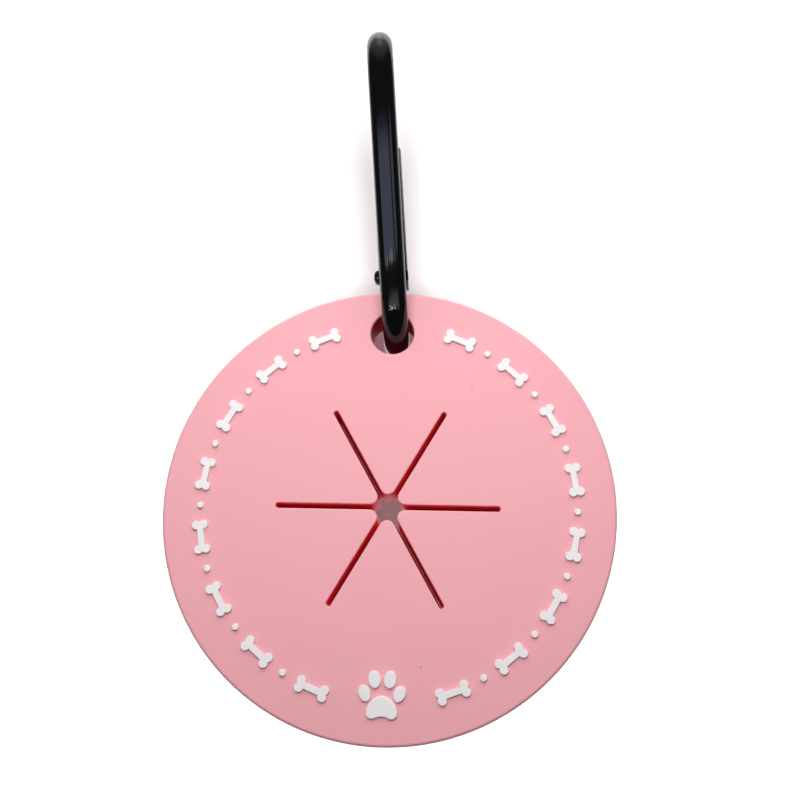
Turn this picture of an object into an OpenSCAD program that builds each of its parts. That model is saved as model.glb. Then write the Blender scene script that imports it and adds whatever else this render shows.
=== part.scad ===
// Hands-free bag holder: a soft disc with six slits, hung on a snap hook.
// The origin is the seat in the hook's top bend, +Z is up and -Y is the front.

/* [Holder disc] */
// Diameter of the soft disc
disc_d = 85; // [76:0.5:100]
// Thickness of the soft disc
disc_t = 9; // [7:0.1:9.6]
// Radius that rounds the two rims of the disc
rim_round = 0.6; // [0.2:0.1:1.5]

/* [Hanging hole] */
// Diameter of the hole that the hook passes through
hole_d = 8.4; // [7.6:0.1:10]
// Width of the strip between the hole and the rim of the disc
hole_strip = 4.2; // [3:0.1:6]

/* [Slits and flaps] */
// Length of one slit, from the centre of the disc
slit_l = 21.1; // [14:0.1:24]
// Width of a slit at the front face
slit_front_w = 1; // [0.6:0.1:1.6]
// Width of a slit at the rear face
slit_rear_w = 0.3; // [0.2:0.1:0.6]
// Radius of a flap's tip at the front face
tip_r = 1.4; // [0.8:0.1:3]

/* [Raised marks] */
// Height that the white marks stand above the front face
mark_rise = 0.5; // [0.3:0.1:1.2]
// Distance from the centre of the disc to the row of marks
mark_ring_r = 35.2; // [31:0.1:37]
// Number of bone marks on each side
bone_count = 8; // [4:1:9]
// Length of one bone mark
bone_l = 6.2; // [4:0.1:7]
// Width across the knobs of a bone mark
bone_w = 3; // [2:0.1:3.6]
// Width of the shaft of a bone mark
bone_shaft_w = 1.2; // [0.8:0.1:1.6]
// Diameter of a dot mark
dot_d = 1.3; // [0.8:0.1:2]
// Angle between the hanging hole and the first bone mark
top_gap = 22; // [16:1:30]
// Angle between the paw and the last bone mark
bottom_gap = 21; // [16:1:30]

/* [Paw print] */
// Distance from the centre of the disc to the middle of the paw
paw_ring_r = 33.6; // [30:0.1:36]
// Width of the large pad
pad_w = 5.6; // [4:0.1:7]
// Length of one toe
toe_l = 3.2; // [2.4:0.1:3.6]
// Width of one toe
toe_w = 2.1; // [1.6:0.1:2.4]

/* [Hook body] */
// Length of the hook over its rod
hook_l = 64.5; // [58:0.5:78]
// Diameter of the hook's rod
rod_d = 5; // [4:0.1:5.4]
// Inside radius of the narrow bend that carries the disc
seat_bend_r = 6; // [5.6:0.1:8]
// Inside radius of the corner above the spine
front_corner_r = 6.5; // [4:0.1:8]
// Inside radius of the corner above the gate
back_corner_r = 5; // [3.5:0.1:7]
// Angle that the gate slants out from the spine
gate_slant = 12; // [8:0.5:15]
// Angle that the top of the hook falls towards the gate
top_fall = 10; // [4:1:16]
// Length of the straight nose below the corner above the gate
nose_l = 6.6; // [1:0.1:9]

/* [Gate] */
// Diameter of the gate
gate_d = 6.2; // [5.8:0.1:7]
// Diameter of the bore for the spring
bore_d = 4.2; // [3.4:0.1:4.4]
// Depth of the bore above the rivet
bore_up = 14; // [11:0.5:18]
// Distance of the rivet above the end of the narrow bend
rivet_up = 8; // [6:0.1:10]
// Diameter of the rivet's shank
rivet_d = 2; // [1.5:0.1:2.4]
// Diameter of the rivet's heads
rivet_head_d = 3.2; // [2.8:0.1:3.6]
// Height of the rivet's domed head, on the left
rivet_head_h = 1.3; // [0.5:0.1:1.5]
// Height of the rivet's clinched end, on the right
rivet_clinch_h = 0.3; // [0.2:0.1:0.8]
// Depth of the flat under each rivet head
rivet_flat = 0.2; // [0.1:0.1:0.5]
// Thickness of the hook's tongue in the gate
tongue_w = 3; // [2.4:0.1:3.2]
// Height of the tongue above the rivet
tongue_up = 2.5; // [2:0.1:3]
// Width of the flat on top of the tongue
tongue_flat_w = 3; // [2:0.1:3.4]

/* [Latch] */
// Thickness of the gate's end that the nose hooks under
lip_t = 1.5; // [1:0.1:2.5]
// Width of the neck of the nose
neck_w = 2.4; // [1.8:0.1:2.8]
// Width of the head of the nose
head_w = 4; // [3.4:0.1:4.2]
// Length of the head of the nose
head_l = 1.6; // [1:0.1:2.4]
// Distance that the nose reaches inwards from the gate's middle
nose_in = 1.6; // [1:0.1:2]

/* [Spring and plunger] */
// Diameter of the spring's wire
wire_d = 0.5; // [0.4:0.05:0.6]
// Number of turns of the spring
turns = 6; // [4:1:6]
// Length of the plunger's head
plunger_l = 3; // [2:0.1:4]
// Diameter of the plunger's stem
stem_d = 2; // [1.2:0.1:2.2]
// Length of the plunger's stem
stem_l = 2.2; // [1:0.1:3]

/* [Attitude] */
// Angle that the hook's top leans out over the face
hook_tilt = 18; // [0:1:30]
// Angle that the hook's top leans to the left
hook_lean = 4; // [0:1:10]
// Angle that the gate is turned to the left of the spine
hook_turn = 1.3; // [0:0.1:5]

/* [Hidden] */
$fn = 96;

// Clearances
seat_clear = 0.25;
running = 0.05;
slide_clear = 0.1;
slot_clear = 0.15;
latch_clear = 0.2;
swing_clear = 0.35;
past = 1;

// How far a straight stretch of rod runs into a bent one
lap = 0.05;
// How far a round piece stands proud of the faces that it blends into
skin = 0.01;

// Disc
slits = 6;
half_step = 180 / slits;
hole_r = hole_d / 2;
hole_y = disc_d / 2 - hole_strip - hole_r;
chord_r = slit_l * cos(half_step);
tip_x = (tip_r + slit_front_w / 2) / sin(half_step);
star_r = tip_x - tip_r;
tip_rear_r = (star_r * sin(half_step) - slit_rear_w / 2) / (1 - sin(half_step));
tip_rear_x = star_r + tip_rear_r;
slit_taper = (slit_front_w - slit_rear_w) / 2 / disc_t;
pink = [0.95, 0.66, 0.69];
white = [0.96, 0.95, 0.94];

// Hook, in its own plane: p runs back from the spine and q runs up, from the middle of the narrow bend
rod_r = rod_d / 2;
bend_r = seat_bend_r + rod_r;
front_r = front_corner_r + rod_r;
back_r = back_corner_r + rod_r;
front_c = [front_r - bend_r, hook_l - rod_d - bend_r - front_r];
top_reach = front_c[0] * sin(top_fall) + front_c[1] * cos(top_fall) + front_r - back_r;
line_reach = bend_r - back_r;
turn = cos(gate_slant) * cos(top_fall) + sin(gate_slant) * sin(top_fall);
back_c = [(line_reach * cos(top_fall) + top_reach * sin(gate_slant)) / turn,
          (top_reach * cos(gate_slant) - line_reach * sin(top_fall)) / turn];
line_start = [bend_r * cos(gate_slant), -bend_r * sin(gate_slant)];
corner_up = (back_c[0] - line_start[0]) * sin(gate_slant) + (back_c[1] - line_start[1]) * cos(gate_slant);
black = [0.07, 0.07, 0.08];
steel = [0.62, 0.63, 0.65];

// Gate, measured up from the rivet
gate_r = gate_d / 2;
shoulder_up = corner_up - nose_l - rivet_up;
gate_up = shoulder_up - swing_clear;
tongue_shoulder = gate_r + swing_clear;
slot_up = norm([rod_r, tongue_up]) + swing_clear;
pocket_top = gate_up - lip_t;
head_top = pocket_top - latch_clear;
pocket_foot = head_top - head_l - swing_clear;
plunger_d = bore_d - 2 * slide_clear;
plunger_foot = tongue_up + running;
spring_foot = plunger_foot + plunger_l;
spring_r = plunger_d / 2 - wire_d / 2 - slide_clear / 2;
spring_l = bore_up - spring_foot;

// Place of the hook's seat and of the disc
seat = [front_c[0], front_c[1] + front_corner_r];
seat_p = seat[0] * cos(hook_turn);
seat_x = seat[0] * sin(hook_turn);
seat_y = seat[1] * sin(hook_tilt) - seat_p * cos(hook_tilt);
seat_z = -seat_p * sin(hook_tilt) - seat[1] * cos(hook_tilt);
pivot = [seat_x * cos(hook_lean) - seat_z * sin(hook_lean), seat_y,
         seat_x * sin(hook_lean) + seat_z * cos(hook_lean)];
pivot_up = hole_y + hole_r + sqrt(pow(seat_bend_r - seat_clear, 2) - pow(disc_t / 2, 2));
disc_centre = pivot - [0, disc_t / 2, pivot_up];

echo(pivot = pivot, disc_centre = disc_centre, chord_r = chord_r, gate_up = gate_up);
echo(line_start = line_start, front_c = front_c, back_c = back_c, seat = seat);

// Points of a round stretch about a centre, from one angle to another
function arc(centre, r, from, to, steps) =
    [for (i = [0:steps]) centre + r * [cos(from + (to - from) * i / steps), sin(from + (to - from) * i / steps)]];

// Puts a thing drawn on a flat disc, front face up at z = 0, where the disc hangs
module on_disc() {
    translate(disc_centre) rotate([90, 0, 0]) children();
}

// A cutter for one slit, which is narrower at the rear
module slit_cut() {
    rotate([90, 0, 90]) linear_extrude(slit_l)
        polygon([[-slit_front_w / 2 - slit_taper * past, past],
                 [slit_front_w / 2 + slit_taper * past, past],
                 [slit_rear_w / 2 - slit_taper * past, -disc_t - past],
                 [-slit_rear_w / 2 + slit_taper * past, -disc_t - past]]);
}

// The round end of one slit
module slit_end() {
    translate([slit_l, 0, -disc_t - past])
        cylinder(h = disc_t + 2 * past, r1 = slit_rear_w / 2 - slit_taper * past,
                 r2 = slit_front_w / 2 + slit_taper * past, $fn = 32);
}

module holder_disc() {
    color(pink) on_disc() difference() {
        rotate_extrude($fn = 180)
            polygon(concat([[0, 0]],
                           [[0, -disc_t]],
                           arc([disc_d / 2 - rim_round, rim_round - disc_t], rim_round, -90, 0, 6),
                           arc([disc_d / 2 - rim_round, -rim_round], rim_round, 0, 90, 6)));
        translate([0, hole_y, -disc_t - past]) cylinder(h = disc_t + 2 * past, r = hole_r, $fn = 64);
        translate([0, 0, -disc_t - past]) cylinder(h = disc_t + 2 * past, r = slit_l, $fn = slits);
        for (i = [0:slits - 1]) rotate(i * 360 / slits) slit_end();
    }
}

// One flap of the disc, between two slits
module flap(i) {
    color(pink) on_disc() rotate((2 * i - 1) * half_step) {
        difference() {
            translate([0, 0, -disc_t]) linear_extrude(disc_t)
                polygon([[0, 0], [chord_r, -chord_r * tan(half_step)], [chord_r, chord_r * tan(half_step)]]);
            rotate(half_step) slit_cut();
            rotate(-half_step) slit_cut();
            tip_cut();
        }
        flap_tip();
    }
}

// The round tip of a flap, a cone that leans so that its wall is upright at the star-shaped hole
module flap_tip() {
    lean = atan((tip_rear_x - tip_x) / disc_t);
    reach = disc_t / cos(lean);
    widening = (tip_rear_r - tip_r) / reach;
    intersection() {
        translate([tip_x, 0, 0]) rotate([0, -lean, 0]) translate([0, 0, -reach - past])
            cylinder(h = reach + 2 * past, r1 = tip_rear_r + widening * past + skin,
                     r2 = tip_r - widening * past + skin, $fn = 48);
        translate([0, -slit_l, -disc_t]) cube([slit_l, 2 * slit_l, disc_t]);
    }
}

// Takes off the sharp tip of a flap where its round tip meets the slit walls
module tip_cut() {
    front_x = tip_x - tip_r * sin(half_step);
    rear_x = tip_rear_x - tip_rear_r * sin(half_step);
    fall = (front_x - rear_x) / disc_t;
    rotate([90, 0, 0]) linear_extrude(2 * slit_l, center = true)
        polygon([[-past, past], [front_x + fall * past, past],
                 [rear_x - fall * past, -disc_t - past], [-past, -disc_t - past]]);
}

// Angle of bone mark i, counted down from the hanging hole on the right
bone_step = (180 - top_gap - bottom_gap) / (bone_count - 1);
function bone_angle(i) = 90 - top_gap - i * bone_step;

module bone() {
    knob_r = bone_w / 4 + bone_shaft_w / 16;
    square([bone_l - 2 * knob_r, bone_shaft_w], center = true);
    for (x = [-1, 1], y = [-1, 1])
        translate([x * (bone_l / 2 - knob_r), y * (bone_w / 2 - knob_r)]) circle(r = knob_r, $fn = 32);
}

module bone_marks() {
    color(white) on_disc() for (side = [0, 1], i = [0:bone_count - 1])
        mirror([side, 0, 0]) rotate(bone_angle(i)) translate([mark_ring_r, 0, 0])
            rotate(90) linear_extrude(mark_rise) bone();
}

module dot_marks() {
    color(white) on_disc() for (side = [0, 1], i = [0:bone_count - 2])
        mirror([side, 0, 0]) rotate(bone_angle(i + 0.5)) translate([mark_ring_r, 0, 0])
            cylinder(h = mark_rise, d = dot_d, $fn = 32);
}

// Puts a thing drawn about the paw's middle in its place
module on_paw() {
    on_disc() translate([0, -paw_ring_r, 0]) children();
}

module paw_pad() {
    crown_r = pad_w * 0.27;
    lobe_r = pad_w * 0.16;
    foot = -pad_w * 0.58;
    color(white) on_paw() linear_extrude(mark_rise) difference() {
        hull() {
            translate([0, foot + pad_w * 0.48]) circle(r = crown_r, $fn = 32);
            for (side = [-1, 1]) translate([side * (pad_w / 2 - lobe_r), foot + lobe_r]) circle(r = lobe_r, $fn = 32);
        }
        translate([0, foot - pad_w * 0.44]) circle(r = pad_w / 2, $fn = 48);
    }
}

// One oval toe, by its length and width
module toe(length, width) {
    linear_extrude(mark_rise)
        polygon([for (a = [0:15:345]) [width / 2 * cos(a), length / 2 * sin(a)]]);
}

module paw_toes() {
    color(white) on_paw() for (side = [-1, 1]) {
        translate([side * toe_w * 0.67, toe_l * 0.78, 0]) rotate(-side * 6) toe(toe_l, toe_w);
        translate([side * toe_w * 1.48, toe_l * 0.08, 0]) rotate(-side * 16) toe(toe_l * 0.92, toe_w * 0.95);
    }
}

// Puts the hook, drawn upright about its narrow bend, at its attitude with the seat at the origin
module on_hook() {
    rotate([hook_tilt, -hook_lean, 0]) rotate(hook_turn) translate([0, -seat[0], -seat[1]]) children();
}

// Puts a thing drawn up from the rivet on the slanting line of the gate
module on_gate() {
    on_hook() translate([0, line_start[0], line_start[1]]) rotate([-gate_slant, 0, 0])
        translate([0, 0, rivet_up]) children();
}

module bent_rod(centre, r, from, to) {
    translate([0, centre[0], centre[1]]) rotate([90, 0, 90]) rotate(from)
        rotate_extrude(angle = to - from, $fn = 128) translate([r, 0]) circle(r = rod_r, $fn = 48);
}

module straight_rod(from, to) {
    run = to - from;
    translate([0, from[0], from[1]]) rotate([-atan2(run[0], run[1]), 0, 0])
        translate([0, 0, -lap]) cylinder(h = norm(run) + 2 * lap, r = rod_r + skin, $fn = 48);
}

module hook_body() {
    up = [cos(90 - top_fall), sin(90 - top_fall)];
    color(black) {
        on_hook() {
            bent_rod([0, 0], bend_r, 180, 360 - gate_slant);
            straight_rod([-bend_r, 0], [-bend_r, front_c[1]]);
            bent_rod(front_c, front_r, 90 - top_fall, 180);
            straight_rod(front_c + front_r * up, back_c + back_r * up);
            bent_rod(back_c, back_r, -gate_slant, 90 - top_fall);
        }
        on_gate() tongue();
        on_gate() nose();
    }
}

// The flattened end of the rod, which the rivet passes through
module tongue() {
    translate([0, 0, -rivet_up - lap])
        cylinder(h = rivet_up + lap - tongue_shoulder, r = rod_r + skin, $fn = 48);
    difference() {
        intersection() {
            translate([0, 0, -tongue_shoulder - lap])
                cylinder(h = tongue_shoulder + tongue_up + lap, r = rod_r, $fn = 48);
            rotate([90, 0, 90]) linear_extrude(tongue_w, center = true)
                polygon([[-rod_d, -tongue_shoulder - past], [rod_d, -tongue_shoulder - past],
                         [rod_d, tongue_up - rod_d + tongue_flat_w / 2], [tongue_flat_w / 2, tongue_up],
                         [-tongue_flat_w / 2, tongue_up], [-rod_d, tongue_up - rod_d + tongue_flat_w / 2]]);
        }
        rotate([0, 90, 0]) cylinder(h = 2 * rod_d, d = rivet_d + 2 * running, center = true, $fn = 32);
    }
}

// The end of the rod above the gate, with the neck and head that lock in the gate's end
module nose() {
    translate([0, 0, shoulder_up]) cylinder(h = nose_l + lap, r = rod_r + skin, $fn = 48);
    intersection() {
        translate([0, 0, head_top - head_l])
            cylinder(h = shoulder_up + lap - head_top + head_l, r = rod_r, $fn = 48);
        union() {
            nose_block(neck_w, head_top - head_l, shoulder_up + lap);
            nose_block(head_w, head_top - head_l, head_top);
        }
    }
}

module nose_block(width, from, to) {
    translate([-width / 2, -nose_in, from]) cube([width, nose_in + rod_d, to - from]);
}

module gate() {
    color(black) on_gate() difference() {
        intersection() {
            translate([0, 0, -gate_r]) cylinder(h = gate_r + gate_up, r = gate_r, $fn = 64);
            union() {
                rotate([0, 90, 0]) cylinder(h = 2 * gate_d, r = gate_r, center = true, $fn = 64);
                translate([-gate_d, -gate_d, 0]) cube([2 * gate_d, 2 * gate_d, gate_up]);
            }
        }
        translate([0, 0, -gate_r - past]) cylinder(h = gate_r + past + bore_up, d = bore_d, $fn = 48);
        translate([-tongue_w / 2 - slot_clear, -gate_d, -gate_r - past])
            cube([tongue_w + 2 * slot_clear, 2 * gate_d, gate_r + past + slot_up]);
        rotate([0, 90, 0]) cylinder(h = 2 * gate_d, d = rivet_d, center = true, $fn = 32);
        for (side = [-1, 1]) translate([side * (gate_r - rivet_flat), 0, 0]) rotate([0, side * 90, 0])
            cylinder(h = past, d = rivet_head_d, $fn = 32);
        latch_cut(neck_w, pocket_foot, gate_up + past);
        latch_cut(head_w, pocket_foot, pocket_top);
    }
}

module latch_cut(width, from, to) {
    translate([-width / 2 - latch_clear, -nose_in - latch_clear, from])
        cube([width + 2 * latch_clear, nose_in + latch_clear + gate_d, to - from]);
}

module gate_rivet() {
    head_foot = gate_r - rivet_flat;
    color(black) on_gate() {
        rotate([0, 90, 0]) cylinder(h = 2 * head_foot, d = rivet_d, center = true, $fn = 32);
        translate([-head_foot, 0, 0]) rotate([0, -90, 0]) rivet_head(rivet_head_h);
        translate([head_foot, 0, 0]) rotate([0, 90, 0]) rivet_head(rivet_clinch_h);
    }
}

module rivet_head(height) {
    rotate_extrude($fn = 48)
        polygon(concat([[0, 0], [rivet_head_d / 2, 0]],
                       [for (a = [0:15:75]) [rivet_head_d / 2 * cos(a), height * (0.3 + 0.7 * sin(a))]],
                       [[0, height]]));
}

module gate_plunger() {
    color(steel) on_gate() translate([0, 0, plunger_foot]) {
        cylinder(h = plunger_l, d = plunger_d, $fn = 48);
        cylinder(h = plunger_l + stem_l, d = stem_d, $fn = 32);
    }
}

// The spring is one tube swept up a helix
sides = 6;
rings_per_turn = 8;
rings = turns * rings_per_turn;
rise = (spring_l - wire_d) / turns;
function coil_point(t, a) =
    [(spring_r + wire_d / 2 * cos(a)) * cos(360 * t), (spring_r + wire_d / 2 * cos(a)) * sin(360 * t),
     wire_d / 2 + rise * t + wire_d / 2 * sin(a)];
coil_points = [for (k = [0:rings], s = [0:sides - 1]) coil_point(k / rings_per_turn, s * 360 / sides)];
coil_faces = concat([[for (s = [0:sides - 1]) s]],
    [for (k = [0:rings - 1], s = [0:sides - 1]) [k * sides + s, (k + 1) * sides + s, (k + 1) * sides + (s + 1) % sides]],
    [for (k = [0:rings - 1], s = [0:sides - 1]) [k * sides + s, (k + 1) * sides + (s + 1) % sides, k * sides + (s + 1) % sides]],
    [[for (s = [sides - 1:-1:0]) rings * sides + s]]);
echo(least_gap_between_turns = rise - wire_d);

module gate_spring() {
    color(steel) on_gate() translate([0, 0, spring_foot]) polyhedron(coil_points, coil_faces, convexity = 8);
}

holder_disc();
flap(1);  // flap_1
flap(2);  // flap_2
flap(3);  // flap_3
flap(4);  // flap_4
flap(5);  // flap_5
flap(6);  // flap_6
bone_marks();
dot_marks();
paw_pad();
paw_toes();
hook_body();
gate();
gate_rivet();
gate_spring();
gate_plunger();
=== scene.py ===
import math

import bmesh
import bpy
from mathutils import Matrix, Vector


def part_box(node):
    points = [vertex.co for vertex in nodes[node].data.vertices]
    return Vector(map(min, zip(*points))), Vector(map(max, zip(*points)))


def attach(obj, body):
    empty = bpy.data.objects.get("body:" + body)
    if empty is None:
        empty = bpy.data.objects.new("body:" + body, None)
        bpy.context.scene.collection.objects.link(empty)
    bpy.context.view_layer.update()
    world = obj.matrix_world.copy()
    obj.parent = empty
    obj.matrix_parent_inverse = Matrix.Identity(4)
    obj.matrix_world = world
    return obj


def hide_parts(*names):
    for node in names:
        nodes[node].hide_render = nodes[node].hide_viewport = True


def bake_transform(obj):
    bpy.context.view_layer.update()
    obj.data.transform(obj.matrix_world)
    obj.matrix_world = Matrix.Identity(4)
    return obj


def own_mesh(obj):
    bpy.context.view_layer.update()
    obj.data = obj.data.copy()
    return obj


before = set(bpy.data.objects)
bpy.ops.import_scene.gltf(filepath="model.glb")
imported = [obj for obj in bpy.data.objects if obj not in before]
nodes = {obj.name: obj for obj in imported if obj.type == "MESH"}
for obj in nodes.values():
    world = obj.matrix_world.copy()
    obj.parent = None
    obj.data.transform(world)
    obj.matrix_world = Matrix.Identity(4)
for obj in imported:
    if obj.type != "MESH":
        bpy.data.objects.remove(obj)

mm = 0.001
scene = bpy.context.scene
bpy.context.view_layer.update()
discLow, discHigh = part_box("holder_disc")
print("frame loaded")


# Shared helpers

tolerance = dict(cut=0.0001 * mm, weld=0.001 * mm, sliver=0.002 * mm, level=0.01 * mm)


def addObject(name, data):
    added = bpy.data.objects.new(name, data)
    scene.collection.objects.link(added)
    return added


def addMesh(name, bm):
    # the mesh under construction becomes an object at the origin
    mesh = bpy.data.meshes.new(name)
    bm.to_mesh(mesh)
    bm.free()
    return addObject(name, mesh)


def finishPiece(name, bm, material, body, node, sharpAngle=50):
    # a finished piece rides on its body, if it is given one, and stands for its node
    for edge in bm.edges:
        edge.smooth = edge.calc_face_angle(0) < math.radians(sharpAngle)
    piece = addMesh(name, bm)
    piece.data.materials.append(material)
    if body:
        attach(piece, body)
    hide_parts(node)
    return piece


def onlyVerts(geom):
    return [g for g in geom if isinstance(g, bmesh.types.BMVert)]


def loopEdges(verts):
    # the edges that join a ring of vertices in turn
    ring = set(verts)
    return [edge for edge in {e for v in verts for e in v.link_edges}
            if edge.verts[0] in ring and edge.verts[1] in ring]


def liesAt(part, axis, level):
    # true for a face or an edge whose vertices are all at one level of an axis
    return all(abs(getattr(vert.co, axis) - level) < tolerance["level"] for vert in part.verts)


def smoothFaces(bm):
    for face in bm.faces:
        face.smooth = True


def roundEdges(bm, edges, offset, steps, clamp=True):
    bmesh.ops.bevel(bm, geom=edges, offset=offset, affect="EDGES", segments=steps, profile=0.5, material=-1,
                    clamp_overlap=clamp)


def addRing(bm, points, height):
    # vertices through flat points at one height
    return [bm.verts.new((x, y, height)) for x, y in points]


def arcPoints(centre, radius, start, end, steps):
    # points round a centre, from one angle to another in degrees
    turn = [math.radians(start + (end - start) * i / steps) for i in range(steps + 1)]
    return [(centre[0] + radius * math.cos(a), centre[1] + radius * math.sin(a)) for a in turn]


# Silicone moulding: the disc and its six flaps

moulding = dict(
    discD=85 * mm, thickness=9 * mm, discSteps=200, rimRound=0.6 * mm, rimRoundSteps=6,
    holeD=8.4 * mm, holeStrip=4.2 * mm, holeSteps=72, holeRound=0.35 * mm, holeRoundSteps=5,
    slits=6, slitLength=20.6 * mm, slitFront=1.0 * mm, slitRear=0.04 * mm, slitEndSteps=6,
    tipRadius=1.4 * mm, tipSteps=8,
    edgeRound=0.15 * mm, rearRound=0.05 * mm, roundAngles=(0, 30, 60, 90), edgeBand=0.25 * mm,
    deepFrom=1.3 * mm, rootMargin=1.6 * mm, bendLength=7 * mm, bendRows=18, rigidRows=6,
    mouldSpots=((15.6 * mm, 22.8 * mm), (6.8 * mm, -28.6 * mm)), spotSize=0.34 * mm)

halfStep = math.pi / moulding["slits"]
discPlace = (Matrix.Translation(((discLow.x + discHigh.x) / 2, discLow.y, (discLow.z + discHigh.z) / 2))
             @ Matrix.Rotation(math.radians(90), 4, "X"))
rootVertex = moulding["slitLength"] + moulding["rootMargin"]
rootLine = rootVertex * math.cos(halfStep)
starR = (moulding["tipRadius"] + moulding["slitFront"] / 2) / math.sin(halfStep) - moulding["tipRadius"]


def flapOutline(gap, inset):
    # outline of a flap whose sides stand off the slit lines by gap, drawn in by an inset
    # +X points away from the disc's middle
    tipR = (starR * math.sin(halfStep) - gap) / (1 - math.sin(halfStep))
    tipX, tipR = starR + tipR, tipR - inset
    gap += inset
    turn = math.degrees(halfStep)
    along = Vector((math.cos(halfStep), math.sin(halfStep)))
    slitEnd = along * moulding["slitLength"]
    upper = arcPoints((tipX, 0), tipR, 180, 90 + turn, moulding["tipSteps"])[1:]
    upper += arcPoints(slitEnd, gap, turn - 90, turn, moulding["slitEndSteps"])
    upper += [tuple(along * rootVertex)]
    lower = [(x, -y) for x, y in reversed(upper)]
    return [(tipX - tipR, 0)] + upper + lower


def slitProfile():
    # gap, inset and height of each ring of a slit's wall, from the front face to the rear one
    depth, band = moulding["thickness"], moulding["edgeBand"]
    edge, rearEdge = moulding["edgeRound"], moulding["rearRound"]
    front, rear, deep = moulding["slitFront"] / 2, moulding["slitRear"] / 2, moulding["deepFrom"]
    taper = (front - rear) * deep / depth
    rounds = [math.radians(a) for a in moulding["roundAngles"]]
    rings = [(front, edge + band, 0)]
    rings += [(front, edge * (1 - math.sin(a)), -edge * (1 - math.cos(a))) for a in rounds]
    rings += [(front - taper, 0, -deep), (rear + taper, 0, deep - depth)]
    rings += [(rear, rearEdge * (1 - math.cos(a)), rearEdge * (1 - math.sin(a)) - depth) for a in rounds]
    rings += [(rear, rearEdge + band, -depth)]
    return rings


def paintWallShade(mesh, isWall):
    # painted shade: 1 inside a slit or hole, falling to 0 at its two edges, where the walls are painted deep
    # red for the light that the translucent silicone holds in them
    depth, deep, edge = moulding["thickness"], moulding["deepFrom"], moulding["edgeRound"]
    inverse = discPlace.inverted()
    paint = mesh.attributes.new("paintedWallShade", "FLOAT", "POINT")
    for vertex, value in zip(mesh.vertices, paint.data):
        local = inverse @ vertex.co
        into = min(-local.z, depth + local.z)
        value.value = min(max((into - edge / 2) / (deep - edge / 2), 0), 1) if isWall(local) else 0


def makeFlap(index, material):
    # rings of one outline down the slit's wall, cut into rows where the flap bends
    bm = bmesh.new()
    rings = [addRing(bm, flapOutline(gap, inset), height) for gap, inset, height in slitProfile()]
    for above, below in zip(rings, rings[1:]):
        for i in range(len(above)):
            bm.faces.new((above[i - 1], above[i], below[i], below[i - 1]))
    caps = [bm.faces.new(ring) for ring in (rings[0], rings[-1])]
    bmesh.ops.triangulate(bm, faces=caps)
    bmesh.ops.remove_doubles(bm, verts=bm.verts, dist=tolerance["weld"])
    bmesh.ops.recalc_face_normals(bm, faces=bm.faces)
    bendRows, rigidRows = moulding["bendRows"], moulding["rigidRows"]
    rows = [rootLine - moulding["bendLength"] * i / bendRows for i in range(1, bendRows + 1)]
    rows += [rows[-1] * (1 - i / rigidRows) for i in range(1, rigidRows)]
    for row in rows:
        everything = bm.verts[:] + bm.edges[:] + bm.faces[:]
        bmesh.ops.bisect_plane(bm, geom=everything, dist=tolerance["cut"], plane_co=(row, 0, 0),
                               plane_no=(1, 0, 0))
        bmesh.ops.dissolve_degenerate(bm, dist=tolerance["sliver"], edges=bm.edges)
    smoothFaces(bm)
    turn = discPlace @ Matrix.Rotation((2 * index - 1) * halfStep, 4, "Z")
    bmesh.ops.transform(bm, matrix=turn, verts=bm.verts)
    flap = finishPiece(f"soft_flap_{index}", bm, material, None, f"flap_{index}")
    paintWallShade(flap.data, lambda local: True)
    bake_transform(flap)


def makeDisc(material):
    bm = bmesh.new()
    depth, radius, rim = moulding["thickness"], moulding["discD"] / 2, moulding["rimRound"]
    holeR, holeRound, deep = moulding["holeD"] / 2, moulding["holeRound"], moulding["deepFrom"]
    holeY = radius - moulding["holeStrip"] - holeR

    def lathe(profile, middle, steps):
        # a wall spun round an upright axis through middle
        verts = [bm.verts.new((middle[0] + x, middle[1], z)) for x, z in profile]
        edges = [bm.edges.new(pair) for pair in zip(verts, verts[1:])]
        bmesh.ops.spin(bm, geom=verts + edges, cent=(*middle, 0), axis=(0, 0, 1), dvec=(0, 0, 0),
                       angle=2 * math.pi, steps=steps, use_merge=True, use_duplicate=False)

    rimFront = arcPoints((radius - rim, -rim), rim, 90, 0, moulding["rimRoundSteps"])
    lathe(rimFront + [(x, -depth - z) for x, z in reversed(rimFront)], (0, 0), moulding["discSteps"])
    holeFront = arcPoints((holeR + holeRound, -holeRound), holeRound, 90, 180, moulding["holeRoundSteps"])
    holeFront += [(holeR, -deep)]
    lathe(holeFront + [(x, -depth - z) for x, z in reversed(holeFront)], (0, holeY), moulding["holeSteps"])
    # the six-sided opening that the flaps' roots fill
    ring = bmesh.ops.create_circle(bm, cap_ends=False, radius=rootVertex, segments=moulding["slits"])["verts"]
    bmesh.ops.rotate(bm, verts=ring, cent=(0, 0, 0), matrix=Matrix.Rotation(math.radians(90), 3, "Z"))
    walls = bmesh.ops.extrude_edge_only(bm, edges=loopEdges(ring))["geom"]
    bmesh.ops.translate(bm, verts=onlyVerts(walls), vec=(0, 0, -depth))
    bmesh.ops.remove_doubles(bm, verts=bm.verts, dist=tolerance["weld"])
    smoothFaces(bm)
    for height in (0, -depth):
        border = [e for e in bm.edges if liesAt(e, "z", height)]
        bmesh.ops.triangle_fill(bm, use_beauty=True, edges=border)
    bmesh.ops.recalc_face_normals(bm, faces=bm.faces)
    bmesh.ops.transform(bm, matrix=discPlace, verts=bm.verts)
    disc = finishPiece("soft_disc", bm, material, "disc", "holder_disc")
    paintWallShade(disc.data, lambda local: (local.xy - Vector((0, holeY))).length < holeR + holeRound)


# Raised marks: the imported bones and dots, and a paw drawn about its middle, all with rounded front edges

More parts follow.
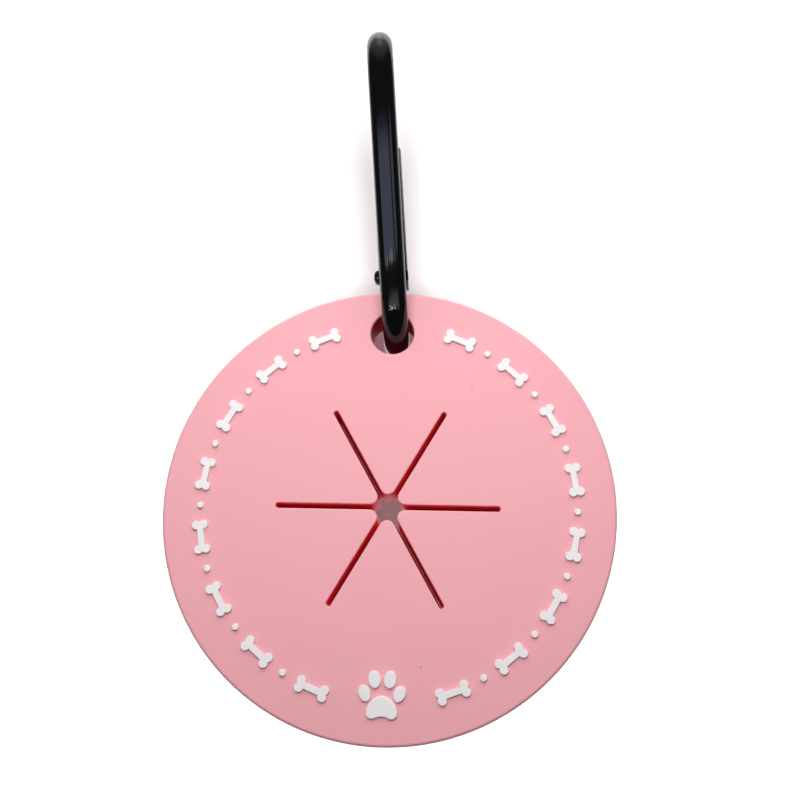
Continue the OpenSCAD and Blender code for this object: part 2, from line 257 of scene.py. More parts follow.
marks = dict(edgeRound=0.22 * mm, edgeSteps=3, flatAngle=1)
paw = dict(
    rise=0.5 * mm, ringR=33.6 * mm, padMiddle=-3.12 * mm, padHalfW=2.82 * mm, padDome=3.04 * mm, padPeak=1.2,
    domeSteps=28, lobeR=1.04 * mm, lobeEnd=295, lobeSteps=10, notch=0.6 * mm, notchSteps=5, toeSteps=24,
    # middle aside and up, lean, length and width of a toe
    toes=((1.40 * mm, 2.64 * mm, 9, 3.15 * mm, 2.32 * mm), (3.13 * mm, 0.21 * mm, 22, 3.0 * mm, 2.2 * mm)))


def finishMarks(node, name, bm, material):
    # rounds the edges of the front faces and leaves those faces flat
    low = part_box(node)[0].y
    rim = list({e for f in bm.faces if liesAt(f, "y", low) for e in f.edges})
    roundEdges(bm, rim, marks["edgeRound"], marks["edgeSteps"])
    for face in bm.faces:
        face.smooth = not liesAt(face, "y", low)
    finishPiece(name, bm, material, "disc", node)


def makeMarks(node, name, material):
    bm = bmesh.new()
    bm.from_mesh(nodes[node].data)
    bmesh.ops.remove_doubles(bm, verts=bm.verts, dist=tolerance["sliver"])
    bmesh.ops.dissolve_limit(bm, angle_limit=math.radians(marks["flatAngle"]), verts=bm.verts, edges=bm.edges)
    finishMarks(node, name, bm, material)


def padOutline():
    # a dome over two round lobes with a shallow notch between them
    middle, halfW, notchSteps = paw["padMiddle"], paw["padHalfW"], paw["notchSteps"]
    dome = [(halfW * math.copysign(abs(x) ** paw["padPeak"], x), middle + paw["padDome"] * y)
            for x, y in arcPoints((0, 0), 1, 0, 180, paw["domeSteps"])]
    lobe = arcPoints((paw["lobeR"] - halfW, middle), paw["lobeR"], 180, paw["lobeEnd"], paw["lobeSteps"])[1:]
    endX, endY = lobe[-1]
    top = middle - paw["notch"]
    across = [1 - i / notchSteps for i in range(1, 2 * notchSteps)]
    notch = [(endX * t, top + (endY - top) * t * t) for t in across]
    return dome + lobe + notch + [(-x, y) for x, y in reversed(lobe)]


def toeOutline(side, aside, up, lean, length, width):
    # an oval that leans away from the paw's middle on its own side
    turn = Matrix.Rotation(math.radians(-side * lean), 2)
    circle = arcPoints((0, 0), 1, 0, 360, paw["toeSteps"])[:-1]
    oval = [turn @ Vector((width / 2 * x, length / 2 * y)) for x, y in circle]
    return [(side * aside + point.x, up + point.y) for point in oval]


def makePaw(node, name, outlines, material):
    bm = bmesh.new()
    for outline in outlines:
        bm.faces.new(addRing(bm, [(x, y - paw["ringR"]) for x, y in outline], 0))
    raised = bmesh.ops.extrude_face_region(bm, geom=bm.faces[:])["geom"]
    bmesh.ops.translate(bm, verts=onlyVerts(raised), vec=(0, 0, paw["rise"]))
    bmesh.ops.recalc_face_normals(bm, faces=bm.faces)
    bmesh.ops.transform(bm, matrix=discPlace, verts=bm.verts)
    finishMarks(node, name, bm, material)


# Snap hook, drawn upright about its narrow bend: Y runs back from the spine and Z runs up

hook = dict(
    length=64.5 * mm, rodD=5 * mm, seatBendR=6 * mm, frontCornerR=6.5 * mm, backCornerR=5 * mm,
    gateSlant=12, topFall=10, noseLength=6.6 * mm, tilt=18, lean=4, turn=1.3,
    ringSteps=48, stepAngle=4, endRound=0.3 * mm, endSteps=3, latchSteps=2, sharpAngle=35,
    inset=0.02 * mm, overlap=0.3 * mm)
gate = dict(
    diameter=6.2 * mm, bore=4.2 * mm, boreUp=14 * mm, rivetUp=8 * mm,
    tongueW=3 * mm, tongueUp=2.5 * mm, tongueFlatW=3 * mm, slotClear=0.15 * mm, swingClear=0.35 * mm,
    lip=1.5 * mm, neckW=2.4 * mm, headW=4 * mm, headLength=1.6 * mm, noseIn=1.6 * mm, latchClear=0.2 * mm,
    footSpare=1 * mm, flatAngle=0.5, edgeRound=0.16 * mm, edgeSteps=3, ringSteps=64,
    wireD=0.5 * mm, wireSteps=10, turns=6, turnSteps=24, springFoot=5.55 * mm, springR=1.7 * mm,
    plungerTravel=0.95 * mm)

rodR = hook["rodD"] / 2
bendR = hook["seatBendR"] + rodR
frontR = hook["frontCornerR"] + rodR
backR = hook["backCornerR"] + rodR
slant, fall = math.radians(hook["gateSlant"]), math.radians(hook["topFall"])
gateAlong = Vector((0, math.sin(slant), math.cos(slant)))
topOut = Vector((0, math.sin(fall), math.cos(fall)))
frontCentre = Vector((0, frontR - bendR, hook["length"] - hook["rodD"] - bendR - frontR))
gateStart = Vector((0, math.cos(slant), -math.sin(slant))) * bendR
# the back corner's middle lies where lines at its radius from the top and from the gate cross
topReach = frontCentre.dot(topOut) + frontR - backR
gateReach = bendR - backR
crossing = math.cos(slant) * math.cos(fall) + math.sin(slant) * math.sin(fall)
backCentre = Vector((0, (gateReach * math.cos(fall) + topReach * math.sin(slant)) / crossing,
                     (topReach * math.cos(slant) - gateReach * math.sin(fall)) / crossing))
cornerUp = (backCentre - gateStart).dot(gateAlong)
seat = frontCentre + Vector((0, 0, hook["frontCornerR"]))
hookPlace = (Matrix.Rotation(math.radians(-hook["lean"]), 4, "Y")
             @ Matrix.Rotation(math.radians(hook["tilt"]), 4, "X")
             @ Matrix.Rotation(math.radians(hook["turn"]), 4, "Z") @ Matrix.Translation(-seat))
gatePlace = (hookPlace @ Matrix.Translation(gateStart) @ Matrix.Rotation(-slant, 4, "X")
             @ Matrix.Translation((0, 0, gate["rivetUp"])))
gateR = gate["diameter"] / 2
shoulderUp = cornerUp - hook["noseLength"] - gate["rivetUp"]
gateUp = shoulderUp - gate["swingClear"]
tongueShoulder = gateR + gate["swingClear"]
slotUp = math.hypot(rodR, gate["tongueUp"]) + gate["swingClear"]
pocketTop = gateUp - gate["lip"]
headTop = pocketTop - gate["latchClear"]
pocketFoot = headTop - gate["headLength"] - gate["swingClear"]


def pushOn(bm, ring, move):
    # extrudes a ring of the rod straight on
    out = bmesh.ops.extrude_edge_only(bm, edges=loopEdges(ring))["geom"]
    verts = onlyVerts(out)
    bmesh.ops.translate(bm, verts=verts, vec=move)
    return verts


def bendOn(bm, ring, centre, angle):
    # spins a ring of the rod round a bend
    steps = max(2, round(abs(angle) / hook["stepAngle"]))
    out = bmesh.ops.spin(bm, geom=ring + loopEdges(ring), cent=centre, axis=(1, 0, 0), dvec=(0, 0, 0),
                         angle=math.radians(angle), steps=steps, use_merge=False, use_duplicate=False)
    return onlyVerts(out["geom_last"])


def rodSlice(bm, radius, low, high, cuts):
    # a length of rod, cut down by planes given as a point and the direction that is taken away
    start = set(bm.verts)
    bmesh.ops.create_cone(bm, cap_ends=True, segments=hook["ringSteps"], radius1=radius, radius2=radius,
                          depth=high - low, matrix=Matrix.Translation((0, 0, (low + high) / 2)))
    for point, away in cuts:
        part = [v for v in bm.verts if v not in start]
        edges = list({e for v in part for e in v.link_edges})
        faces = list({f for v in part for f in v.link_faces})
        cut = bmesh.ops.bisect_plane(bm, geom=part + edges + faces, dist=tolerance["cut"], plane_co=point,
                                     plane_no=away, clear_outer=True)
        bmesh.ops.edgeloop_fill(bm, edges=[g for g in cut["geom_cut"] if isinstance(g, bmesh.types.BMEdge)])


def softenEdges(bm, offset, steps):
    # rounds the edges that are sharper than the facets of a round face
    sharp = [e for e in bm.edges if e.is_manifold and e.calc_face_angle(0) > math.radians(hook["sharpAngle"])]
    roundEdges(bm, sharp, offset, steps)


def joinInto(bm, other):
    # adds one mesh under construction to another
    mesh = bpy.data.meshes.new("part")
    other.to_mesh(mesh)
    other.free()
    bm.from_mesh(mesh)
    bpy.data.meshes.remove(mesh)


def makeHook(material):
    # the rod's round section pushed and bent along the hook, from the tongue's shoulder to the nose's
    bm = bmesh.new()
    ring = bmesh.ops.create_circle(bm, cap_ends=True, radius=rodR, segments=hook["ringSteps"])["verts"]
    foot = Matrix.Translation((0, 0, -tongueShoulder))
    rivetPlace = (Matrix.Translation(gateStart) @ Matrix.Rotation(-slant, 4, "X")
                  @ Matrix.Translation((0, 0, gate["rivetUp"])))
    bmesh.ops.transform(bm, matrix=rivetPlace @ foot, verts=ring)
    startCap = list(bm.faces)
    ring = pushOn(bm, ring, -gateAlong * (gate["rivetUp"] - tongueShoulder))
    ring = bendOn(bm, ring, (0, 0, 0), hook["gateSlant"] - 180)
    ring = pushOn(bm, ring, (0, 0, frontCentre.z))
    ring = bendOn(bm, ring, frontCentre, -90 - hook["topFall"])
    ring = pushOn(bm, ring, backCentre - frontCentre + topOut * (backR - frontR))
    ring = bendOn(bm, ring, backCentre, hook["topFall"] - 90 - hook["gateSlant"])
    ring = pushOn(bm, ring, -gateAlong * hook["noseLength"])
    endCap = bmesh.ops.contextual_create(bm, geom=loopEdges(ring))["faces"]
    caps = [e for f in startCap + endCap for e in f.edges]
    roundEdges(bm, caps, hook["endRound"], hook["endSteps"], clamp=False)

    # the tongue that the gate's fork straddles
    small = bmesh.new()
    half, flat, up = gate["tongueW"] / 2, gate["tongueFlatW"] / 2, gate["tongueUp"]
    rodSlice(small, rodR - hook["inset"], -tongueShoulder - hook["overlap"], up,
             [((half, 0, 0), (1, 0, 0)), ((-half, 0, 0), (-1, 0, 0)),
              ((0, flat, up), (0, 1, 1)), ((0, -flat, up), (0, -1, 1))])
    # the nose's neck and its T-shaped head
    neck, head = gate["neckW"] / 2, gate["headW"] / 2
    inner = ((0, -gate["noseIn"], 0), (0, -1, 0))
    rodSlice(small, rodR - hook["inset"], headTop - hook["overlap"], shoulderUp + hook["overlap"],
             [((neck, 0, 0), (1, 0, 0)), ((-neck, 0, 0), (-1, 0, 0)), inner])
    rodSlice(small, rodR - 2 * hook["inset"], headTop - gate["headLength"], headTop,
             [((head, 0, 0), (1, 0, 0)), ((-head, 0, 0), (-1, 0, 0)), inner])
    softenEdges(small, gate["edgeRound"], hook["latchSteps"])
    bmesh.ops.transform(small, matrix=rivetPlace, verts=small.verts)
    joinInto(bm, small)
    bmesh.ops.recalc_face_normals(bm, faces=bm.faces)
    smoothFaces(bm)
    bmesh.ops.transform(bm, matrix=hookPlace, verts=bm.verts)
    finishPiece("rod_hook", bm, material, "hook", "hook_body", hook["sharpAngle"])


def block(bm, low, high):
    # a box between two corners
    low, high = Vector(low), Vector(high)
    size = Matrix.Diagonal((*(high - low), 1))
    bmesh.ops.create_cube(bm, size=1, matrix=Matrix.Translation((low + high) / 2) @ size)


def carve(piece, shape, operation):
    # cuts a piece by another shape and keeps the result as its mesh
    cutter = addMesh("cutter", shape)
    cut = piece.modifiers.new("cut", "BOOLEAN")
    cut.operation, cut.solver, cut.object = operation, "EXACT", cutter
    result = bpy.data.meshes.new_from_object(piece.evaluated_get(bpy.context.evaluated_depsgraph_get()))
    piece.modifiers.clear()
    piece.data = result
    bpy.data.objects.remove(cutter)


def makeGate(material):
    # a round bar with a rounded foot, the fork's slot, the spring's bore and the nose's pocket
    bm = bmesh.new()
    foot = gateR + gate["footSpare"]
    bmesh.ops.create_cone(bm, cap_ends=True, segments=gate["ringSteps"], radius1=gateR, radius2=gateR,
                          depth=gateUp + foot, matrix=Matrix.Translation((0, 0, (gateUp - foot) / 2)))
    piece = addMesh("sprung_gate", bm)

    # seen from the side, the bar ends in a half round about the rivet
    rounding = bmesh.new()
    sideways = Matrix.Rotation(math.radians(90), 4, "Y")
    disc = bmesh.ops.create_circle(rounding, cap_ends=True, radius=gateR, segments=gate["ringSteps"],
                                   matrix=Matrix.Translation((-gate["diameter"], 0, 0)) @ sideways)["verts"]
    for vertex in [v for v in disc if v.co.z > tolerance["weld"]]:
        vertex.co.y = math.copysign(gateR, vertex.co.y) if abs(vertex.co.y) > tolerance["weld"] else 0
        vertex.co.z = gateUp
    bmesh.ops.remove_doubles(rounding, verts=rounding.verts, dist=tolerance["weld"])
    through = bmesh.ops.extrude_face_region(rounding, geom=rounding.faces[:])["geom"]
    bmesh.ops.translate(rounding, verts=onlyVerts(through), vec=(2 * gate["diameter"], 0, 0))
    bmesh.ops.recalc_face_normals(rounding, faces=rounding.faces)
    carve(piece, rounding, "INTERSECT")

    past = 2 * gate["diameter"]
    fork = gate["tongueW"] / 2 + gate["slotClear"]
    cutters = [((-fork, -past, -past), (fork, past, slotUp))]
    for width, top in ((gate["neckW"], gateUp + past), (gate["headW"], pocketTop)):
        side = width / 2 + gate["latchClear"]
        cutters.append(((-side, -gate["noseIn"] - gate["latchClear"], pocketFoot), (side, past, top)))
    for low, high in cutters:
        shape = bmesh.new()
        block(shape, low, high)
        carve(piece, shape, "DIFFERENCE")
    bore = bmesh.new()
    bmesh.ops.create_cone(bore, cap_ends=True, segments=hook["ringSteps"], radius1=gate["bore"] / 2,
                          radius2=gate["bore"] / 2, depth=gate["boreUp"],
                          matrix=Matrix.Translation((0, 0, gate["boreUp"] / 2)))
    carve(piece, bore, "DIFFERENCE")

    bm = bmesh.new()
    bm.from_mesh(piece.data)
    bpy.data.objects.remove(piece)
    bmesh.ops.remove_doubles(bm, verts=bm.verts, dist=tolerance["sliver"])
    bmesh.ops.dissolve_limit(bm, angle_limit=math.radians(gate["flatAngle"]), verts=bm.verts, edges=bm.edges)
    softenEdges(bm, gate["edgeRound"], gate["edgeSteps"])
    smoothFaces(bm)
    bmesh.ops.transform(bm, matrix=gatePlace, verts=bm.verts)
    finishPiece("sprung_gate", bm, material, "gate", "gate", hook["sharpAngle"])


def makeSpring(material):
    # the wire's round section spun up a helix inside the bore
    bm = bmesh.new()
    wire = gate["wireD"] / 2
    start = Matrix.Translation((gate["springR"], 0, gate["springFoot"] + wire))
    rise = (gate["boreUp"] - gate["springFoot"] - gate["wireD"]) / gate["turns"]
    section = bmesh.ops.create_circle(bm, cap_ends=True, radius=wire, segments=gate["wireSteps"],
                                      matrix=start @ Matrix.Rotation(math.radians(90), 4, "X"))["verts"]
    steps = gate["turns"] * gate["turnSteps"]
    last = bmesh.ops.spin(bm, geom=section + loopEdges(section), cent=(0, 0, 0), axis=(0, 0, 1),
                          dvec=(0, 0, rise * gate["turns"] / steps), angle=2 * math.pi * gate["turns"],
                          steps=steps, use_merge=False, use_duplicate=False)["geom_last"]
    bmesh.ops.contextual_create(bm, geom=[g for g in last if isinstance(g, bmesh.types.BMEdge)])
    bmesh.ops.recalc_face_normals(bm, faces=bm.faces)
    smoothFaces(bm)
    bmesh.ops.transform(bm, matrix=gatePlace, verts=bm.verts)
    spring = finishPiece("coil_spring", bm, material, "gate", "gate_spring")
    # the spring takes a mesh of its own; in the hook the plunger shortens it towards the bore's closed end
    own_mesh(spring)


# Finishes, on object coordinates and the painted shade of the slits' walls

def newMaterial(name, colour, roughness, **sockets):
    material = bpy.data.materials.new(name)
    material.use_nodes = True
    tree = material.node_tree
    shader = tree.nodes["Principled BSDF"]
    shader.inputs["Base Color"].default_value = (*colour, 1)
    shader.inputs["Roughness"].default_value = roughness
    for socket, value in sockets.items():
        shader.inputs[socket.replace("_", " ")].default_value = value
    return material, tree, shader


def addNode(tree, kind, inputs=None, **settings):
    node = tree.nodes.new(kind)
    for key, value in settings.items():
        setattr(node, key, value)
    for key, value in (inputs or {}).items():
        if isinstance(value, bpy.types.NodeSocket):
            tree.links.new(value, node.inputs[key])
        else:
            node.inputs[key].default_value = value
    return node


def objectPoints(tree, scale=(1, 1, 1)):
    coords = addNode(tree, "ShaderNodeTexCoord").outputs["Object"]
    return addNode(tree, "ShaderNodeMapping", {"Vector": coords, "Scale": scale}).outputs["Vector"]


def addNoise(tree, points, scale, detail, roughness):
    return addNode(tree, "ShaderNodeTexNoise", {"Vector": points, "Scale": scale, "Detail": detail,
                                                "Roughness": roughness}).outputs["Fac"]


def mapRange(tree, value, start, end, low=0, high=1, kind="LINEAR"):
    # low where the value is at start, and high where it is at end
    inputs = {"Value": value, "From Min": start, "From Max": end, "To Min": low, "To Max": high}
    return addNode(tree, "ShaderNodeMapRange", inputs, interpolation_type=kind).outputs["Result"]


def addBump(tree, shader, height, strength, distance):
    bump = addNode(tree, "ShaderNodeBump", {"Height": height, "Strength": strength, "Distance": distance})
    tree.links.new(bump.outputs["Normal"], shader.inputs["Normal"])


def mixColours(tree, factor, first, second):
    mixed = addNode(tree, "ShaderNodeMix", {"Factor": factor}, data_type="RGBA")
    for socket, colour in (("A", first), ("B", second)):
        if isinstance(colour, bpy.types.NodeSocket):
            tree.links.new(colour, mixed.inputs[socket])
        else:
            mixed.inputs[socket].default_value = (*colour, 1)
    return mixed.outputs["Result"]


def mixShaders(tree, factor, first, second):
    return addNode(tree, "ShaderNodeMixShader", {0: factor, 1: first, 2: second}).outputs[0]


# a noise is given as scale, detail and roughness, and a bump as strength and distance

def siliconeFinish():
    # wall is a painted shade, the deep red inside the slits and the hole
    look = dict(colour=(0.93, 0.44, 0.485), blotch=(0.91, 0.415, 0.462), wall=(0.98, 0.045, 0.085),
                spot=(0.66, 0.22, 0.26), spotShare=0.8, roughness=0.5, shine=0.3,
                cloud=(60, 3, 0.6), grain=(2500, 2, 0.5), bump=(0.25, 0.02 * mm))
    material, tree, shader = newMaterial("pinkSilicone", look["colour"], look["roughness"],
                                         Specular_IOR_Level=look["shine"])
    points = objectPoints(tree)
    colour = mixColours(tree, addNoise(tree, points, *look["cloud"]), look["colour"], look["blotch"])
    for spot in moulding["mouldSpots"]:
        place = discPlace @ Vector((*spot, 0))
        away = addNode(tree, "ShaderNodeVectorMath", {0: points, 1: place}, operation="DISTANCE")
        near = mapRange(tree, away.outputs["Value"], moulding["spotSize"], 0, high=look["spotShare"],
                        kind="SMOOTHSTEP")
        colour = mixColours(tree, near, colour, look["spot"])
    # painted shade: the walls of the slits and the hole turn deep red inside, for the light that the
    # translucent silicone holds there
    depth = addNode(tree, "ShaderNodeAttribute", attribute_name="paintedWallShade").outputs["Fac"]
    tree.links.new(mixColours(tree, depth, colour, look["wall"]), shader.inputs["Base Color"])
    addBump(tree, shader, addNoise(tree, points, *look["grain"]), *look["bump"])
    return material


def markFinish():
    look = dict(colour=(0.95, 0.90, 0.91), shade=(0.88, 0.83, 0.85), foot=(0.42, 0.17, 0.21),
                footShadeHeight=0.16 * mm, roughness=0.5, shine=0.4, cloud=(700, 3, 0.6), bump=(0.3, 0.03 * mm))
    material, tree, shader = newMaterial("whiteSilicone", look["colour"], look["roughness"],
                                         Specular_IOR_Level=look["shine"])
    points = objectPoints(tree)
    cloud = addNoise(tree, points, *look["cloud"])
    colour = mixColours(tree, cloud, look["colour"], look["shade"])
    # painted shade, darker where a mark meets the face
    ahead = addNode(tree, "ShaderNodeSeparateXYZ", {"Vector": points}).outputs["Y"]
    foot = mapRange(tree, ahead, discLow.y - look["footShadeHeight"], discLow.y)
    tree.links.new(mixColours(tree, foot, colour, look["foot"]), shader.inputs["Base Color"])
    addBump(tree, shader, cloud, *look["bump"])
    return material


def anodisedFinish():
    look = dict(colour=(0.0025, 0.0025, 0.003), roughness=0.1, shine=0.4, roughFrom=0.03, roughTo=0.06,
                drawn=0.12, grain=(3000, 4, 0.6), bump=(0.14, 0.02 * mm))
    material, tree, shader = newMaterial("blackAnodised", look["colour"], look["roughness"],
                                         Specular_IOR_Level=look["shine"])
    # drawn along the rod, so the grain is long in Z
    grain = addNoise(tree, objectPoints(tree, scale=(1, 1, look["drawn"])), *look["grain"])
    rough = mapRange(tree, grain, 0, 1, look["roughFrom"], look["roughTo"])
    tree.links.new(rough, shader.inputs["Roughness"])
    addBump(tree, shader, grain, *look["bump"])
    return material


steels = dict(
    springWire=dict(colour=(0.55, 0.56, 0.58), roughness=0.3),
    turnedSteel=dict(colour=(0.50, 0.50, 0.52), roughness=0.35),
    smoother=0.08, rougher=0.12, grain=(4000, 3, 0.6), bump=(0.2, 0.01 * mm))


def steelFinish(name):
    colour, roughness = steels[name]["colour"], steels[name]["roughness"]
    material, tree, shader = newMaterial(name, colour, roughness, Metallic=1)
    grain = addNoise(tree, objectPoints(tree), *steels["grain"])
    rough = mapRange(tree, grain, 0, 1, roughness - steels["smoother"], roughness + steels["rougher"])
    tree.links.new(rough, shader.inputs["Roughness"])
    addBump(tree, shader, grain, *steels["bump"])
    return material


def dressNode(name, material):
    data = nodes[name].data
    data.materials.clear()
    data.materials.append(material)


# Camera, lamps and backdrop

view = dict(
    lens=43.29, sensor=36, pitch=-14.5, yaw=-2.7, roll=-1.45,
    fitScale=1.024 * mm, offset=(-2.3, -19.5, -175.3), clipFrom=1 * mm, clipTo=100)
studio = dict(
    ambient=0.035, dark=0.06,
    # pale areas that the hook mirrors, in degrees: colour, middle and reach aside, softness,
    # lower and upper edge, their softness, and the scale of the specks or 0 for none
    areas=(((1.2, 1.3, 1.9), -14, 48, 7, -13.9, -4.7, 0.15, 1.9, 0),  # cool band below eye level
           ((1.05, 1.15, 1.6), 54, 10, 3, -13.9, -4.7, 0.15, 1.9, 0),  # and its right end
           ((14, 14, 14.5), 0, 50, 12, -14.3, -13.9, 0.05, 0.05, 11),  # row of specks under it
           ((20, 20, 20.5), 0, 48, 10, -31, -23.5, 1.5, 1, 9),  # lower row of specks
           ((1.3, 1.3, 1.35), 0, 44, 14, -24, -17, 1, 0.5, 0),  # pale band between the rows
           ((0.42, 0.45, 0.49), 0, 181, 1, 40, 91, 14, 1, 0),  # grey ceiling
           ((0.7, 0.7, 0.7), 0, 181, 1, 66, 91, 8, 1, 0),  # and its paler middle
           ((0.85, 0.85, 0.85), -160, 40, 5, -91, 91, 1, 1, 0),  # pale room behind on the left
           ((0.85, 0.85, 0.85), 160, 40, 5, -91, 91, 1, 1, 0)),  # and on the right
    speckFrom=0.50, speckTo=0.64, speckDetail=1, rodCurve=0.00256, rodSkew=0.067, rodReach=70,
    wallPower=10.5, wallLampSize=0.22, wallLampAway=1.2, wallLampLow=-17, wallLampAside=3.6,
    topPower=0.39, topSize=(0.44, 0.10), topSpot=(0.0, -0.13, 0.19),
    frontPower=0.345, frontSize=(0.16, 0.12), frontSpot=(0.0, -0.20, 0.065),
    stageSize=1.3, stageRoughness=0.9, floorZ=-0.6, wallY=110 * mm,
    floorBounce=0.2, floorShade=(0.97, 0.97, 0.97), floorGain=(0.5, 0.5, 0.5),
    # the wall's shade is a painted rose glow, a painted pink bounce light from the disc that shows only in
    # its shadow
    wallBounce=0.85, wallShade=(0.10, 0.005, 0.012), wallGain=(1.74, 1.88, 1.88))


def makeCamera():
    data = bpy.data.cameras.new("camera")
    data.lens, data.sensor_width = view["lens"], view["sensor"]
    data.clip_start, data.clip_end = view["clipFrom"], view["clipTo"]
    camera = addObject("camera", data)
    turn = (Matrix.Rotation(math.radians(view["pitch"]), 3, "X")
            @ Matrix.Rotation(math.radians(view["yaw"]), 3, "Y")
            @ Matrix.Rotation(math.radians(view["roll"]), 3, "Z")).transposed()
    spot = -(turn @ (Vector(view["offset"]) * view["fitScale"]))
    camera.matrix_world = discPlace @ Matrix.Translation(spot) @ turn.to_4x4()
    scene.camera = camera


def makeWorld():
    # white for the camera, an even light for the object, and a dark room with pale areas for reflections
    world = bpy.data.worlds.new("studio")
    scene.world = world
    world.use_nodes = True
    tree = world.node_tree
    tree.nodes.clear()

    def maths(operation, first, second=0.0):
        return addNode(tree, "ShaderNodeMath", {0: first, 1: second}, operation=operation).outputs[0]

    def within(value, low, high, lowSoft, highSoft):
        rise = mapRange(tree, value, low - lowSoft, low + lowSoft, kind="SMOOTHSTEP")
        drop = mapRange(tree, value, high + highSoft, high - highSoft, kind="SMOOTHSTEP")
        return maths("MULTIPLY", rise, drop)

    path = addNode(tree, "ShaderNodeLightPath")
    direction = addNode(tree, "ShaderNodeTexCoord").outputs["Generated"]
    x, y, z = addNode(tree, "ShaderNodeSeparateXYZ", {"Vector": direction}).outputs
    toDegrees = 180 / math.pi
    aside = maths("MULTIPLY", maths("ARCTAN2", x, maths("MULTIPLY", y, -1.0)), toDegrees)
    # heights follow the curved rows that a round rod mirrors straight
    near = maths("MAXIMUM", maths("MINIMUM", aside, studio["rodReach"]), -studio["rodReach"])
    slope = maths("ADD", maths("MULTIPLY", near, studio["rodCurve"]), studio["rodSkew"])
    sag = maths("MULTIPLY", near, slope)
    up = maths("SUBTRACT", maths("MULTIPLY", maths("ARCSINE", z), toDegrees), sag)
    gloss = addNode(tree, "ShaderNodeCombineXYZ", {axis: studio["dark"] for axis in "XYZ"}).outputs[0]
    for colour, middle, reach, sideSoft, low, high, lowSoft, highSoft, specks in studio["areas"]:
        area = maths("MULTIPLY", within(aside, middle - reach, middle + reach, sideSoft, sideSoft),
                     within(up, low, high, lowSoft, highSoft))
        if specks:
            noise = addNode(tree, "ShaderNodeTexNoise", {"Vector": direction, "Scale": specks,
                                                         "Detail": studio["speckDetail"]}).outputs["Fac"]
            area = maths("MULTIPLY", area, mapRange(tree, noise, studio["speckFrom"], studio["speckTo"]))
        part = addNode(tree, "ShaderNodeVectorMath", {0: colour, "Scale": area}, operation="SCALE").outputs[0]
        gloss = addNode(tree, "ShaderNodeVectorMath", {0: gloss, 1: part}, operation="ADD").outputs[0]
    ambient = addNode(tree, "ShaderNodeBackground", {"Color": (1, 1, 1, 1), "Strength": studio["ambient"]})
    seen = addNode(tree, "ShaderNodeBackground", {"Color": (1, 1, 1, 1), "Strength": 1.0})
    shine = addNode(tree, "ShaderNodeBackground", {"Color": gloss, "Strength": 1.0})
    lit = mixShaders(tree, path.outputs["Is Glossy Ray"], ambient.outputs[0], shine.outputs[0])
    mixed = mixShaders(tree, path.outputs["Is Camera Ray"], lit, seen.outputs[0])
    tree.links.new(mixed, addNode(tree, "ShaderNodeOutputWorld").inputs["Surface"])


def addLamp(name, spot, target, size, power):
    data = bpy.data.lights.new(name, "AREA")
    data.shape, data.size, data.size_y = "RECTANGLE", size[0], size[1]
    data.energy = power
    lamp = addObject(name, data)
    aim = (Vector(target) - Vector(spot)).to_track_quat("-Z", "Y")
    lamp.matrix_world = Matrix.Translation(spot) @ aim.to_matrix().to_4x4()
    lamp.visible_glossy = lamp.visible_camera = False
    return lamp


def stageFinish(name):
    # white where it is lit, with a painted glow in the colour of its shade that shows in the object's shadow,
    # and open from behind
    material, tree, shader = newMaterial(name, [studio[f"{name}Bounce"]] * 3, studio["stageRoughness"],
                                         Specular_IOR_Level=0)
    path = addNode(tree, "ShaderNodeLightPath")
    glow = addNode(tree, "ShaderNodeEmission", {"Color": (*studio[f"{name}Shade"], 1), "Strength": 1.0})
    extra = addNode(tree, "ShaderNodeBsdfDiffuse", {"Color": (*studio[f"{name}Gain"], 1)})
    seen = addNode(tree, "ShaderNodeAddShader", {0: glow.outputs[0], 1: extra.outputs[0]})
    front = mixShaders(tree, path.outputs["Is Camera Ray"], shader.outputs[0], seen.outputs[0])
    backface = addNode(tree, "ShaderNodeNewGeometry").outputs["Backfacing"]
    behind = addNode(tree, "ShaderNodeMath", {0: backface, 1: path.outputs["Is Camera Ray"]},
                     operation="MULTIPLY").outputs[0]
    clear = addNode(tree, "ShaderNodeBsdfTransparent").outputs[0]
    shown = mixShaders(tree, behind, front, clear)
    tree.links.new(shown, tree.nodes["Material Output"].inputs["Surface"])
    return material


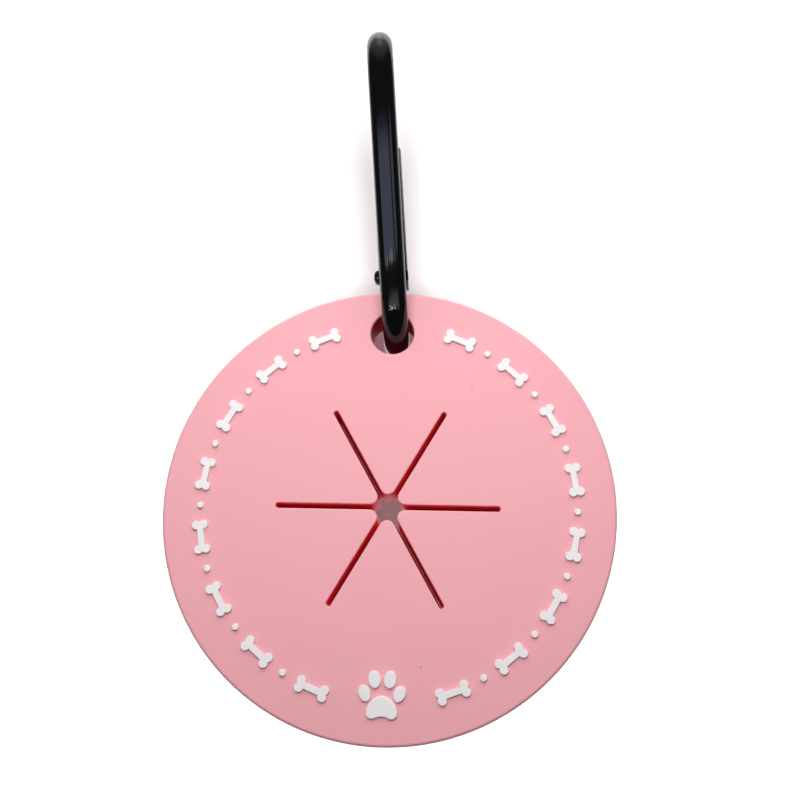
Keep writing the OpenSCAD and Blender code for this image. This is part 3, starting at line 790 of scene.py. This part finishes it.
def makeStage():
    # a floor and an upright wall behind the object, beyond the reach of the swinging disc
    upright = Matrix.Translation((0, studio["wallY"], 0)) @ Matrix.Rotation(math.radians(90), 4, "X")
    stages = []
    for name, place in (("floor", Matrix.Translation((0, 0, studio["floorZ"]))), ("wall", upright)):
        bm = bmesh.new()
        bmesh.ops.create_grid(bm, x_segments=1, y_segments=1, size=studio["stageSize"] / 2, matrix=place)
        stage = addMesh(name, bm)
        stage.data.materials.append(stageFinish(name))
        stage.visible_glossy = stage.visible_shadow = False
        stages.append(stage)
    return stages


def linkStages(lamp, stages, state):
    # the stage alone takes a lamp's light, or everything but the stage
    listed = bpy.data.collections.new(f"{lamp.name}Stage")
    for stage in stages:
        listed.objects.link(stage)
    for entry in listed.collection_objects:
        entry.light_linking.link_state = state
    lamp.light_linking.receiver_collection = listed


def makeLamps(stages):
    # one lamp throws the object's shadow on the wall, and two soft ones near the front light the object alone
    centre = discPlace.translation
    low, aside = math.radians(studio["wallLampLow"]), math.radians(studio["wallLampAside"])
    away = Vector((math.sin(aside) * math.cos(low), -math.cos(aside) * math.cos(low), math.sin(low)))
    back = addLamp("wallLamp", centre + away * studio["wallLampAway"], centre, [studio["wallLampSize"]] * 2,
                   studio["wallPower"])
    linkStages(back, stages, "INCLUDE")
    for name in ("top", "front"):
        lamp = addLamp(f"{name}Lamp", centre + Vector(studio[f"{name}Spot"]), centre, studio[f"{name}Size"],
                       studio[f"{name}Power"])
        linkStages(lamp, stages, "EXCLUDE")


scene.view_settings.view_transform = "Standard"
makeCamera()
makeWorld()
makeLamps(makeStage())
print("camera, lamps and stage ready")

pink, white, black = siliconeFinish(), markFinish(), anodisedFinish()
makeDisc(pink)
for index in range(1, moulding["slits"] + 1):
    makeFlap(index, pink)
print("moulding ready")
makeMarks("bone_marks", "raised_bones", white)
makeMarks("dot_marks", "raised_dots", white)
makePaw("paw_pad", "raised_pad", [padOutline()], white)
toes = [toeOutline(side, *toe) for side in (-1, 1) for toe in paw["toes"]]
makePaw("paw_toes", "raised_toes", toes, white)
print("marks ready")
makeHook(black)
makeGate(black)
makeSpring(steelFinish("springWire"))
dressNode("gate_rivet", black)
dressNode("gate_plunger", steelFinish("turnedSteel"))
print("hook ready")
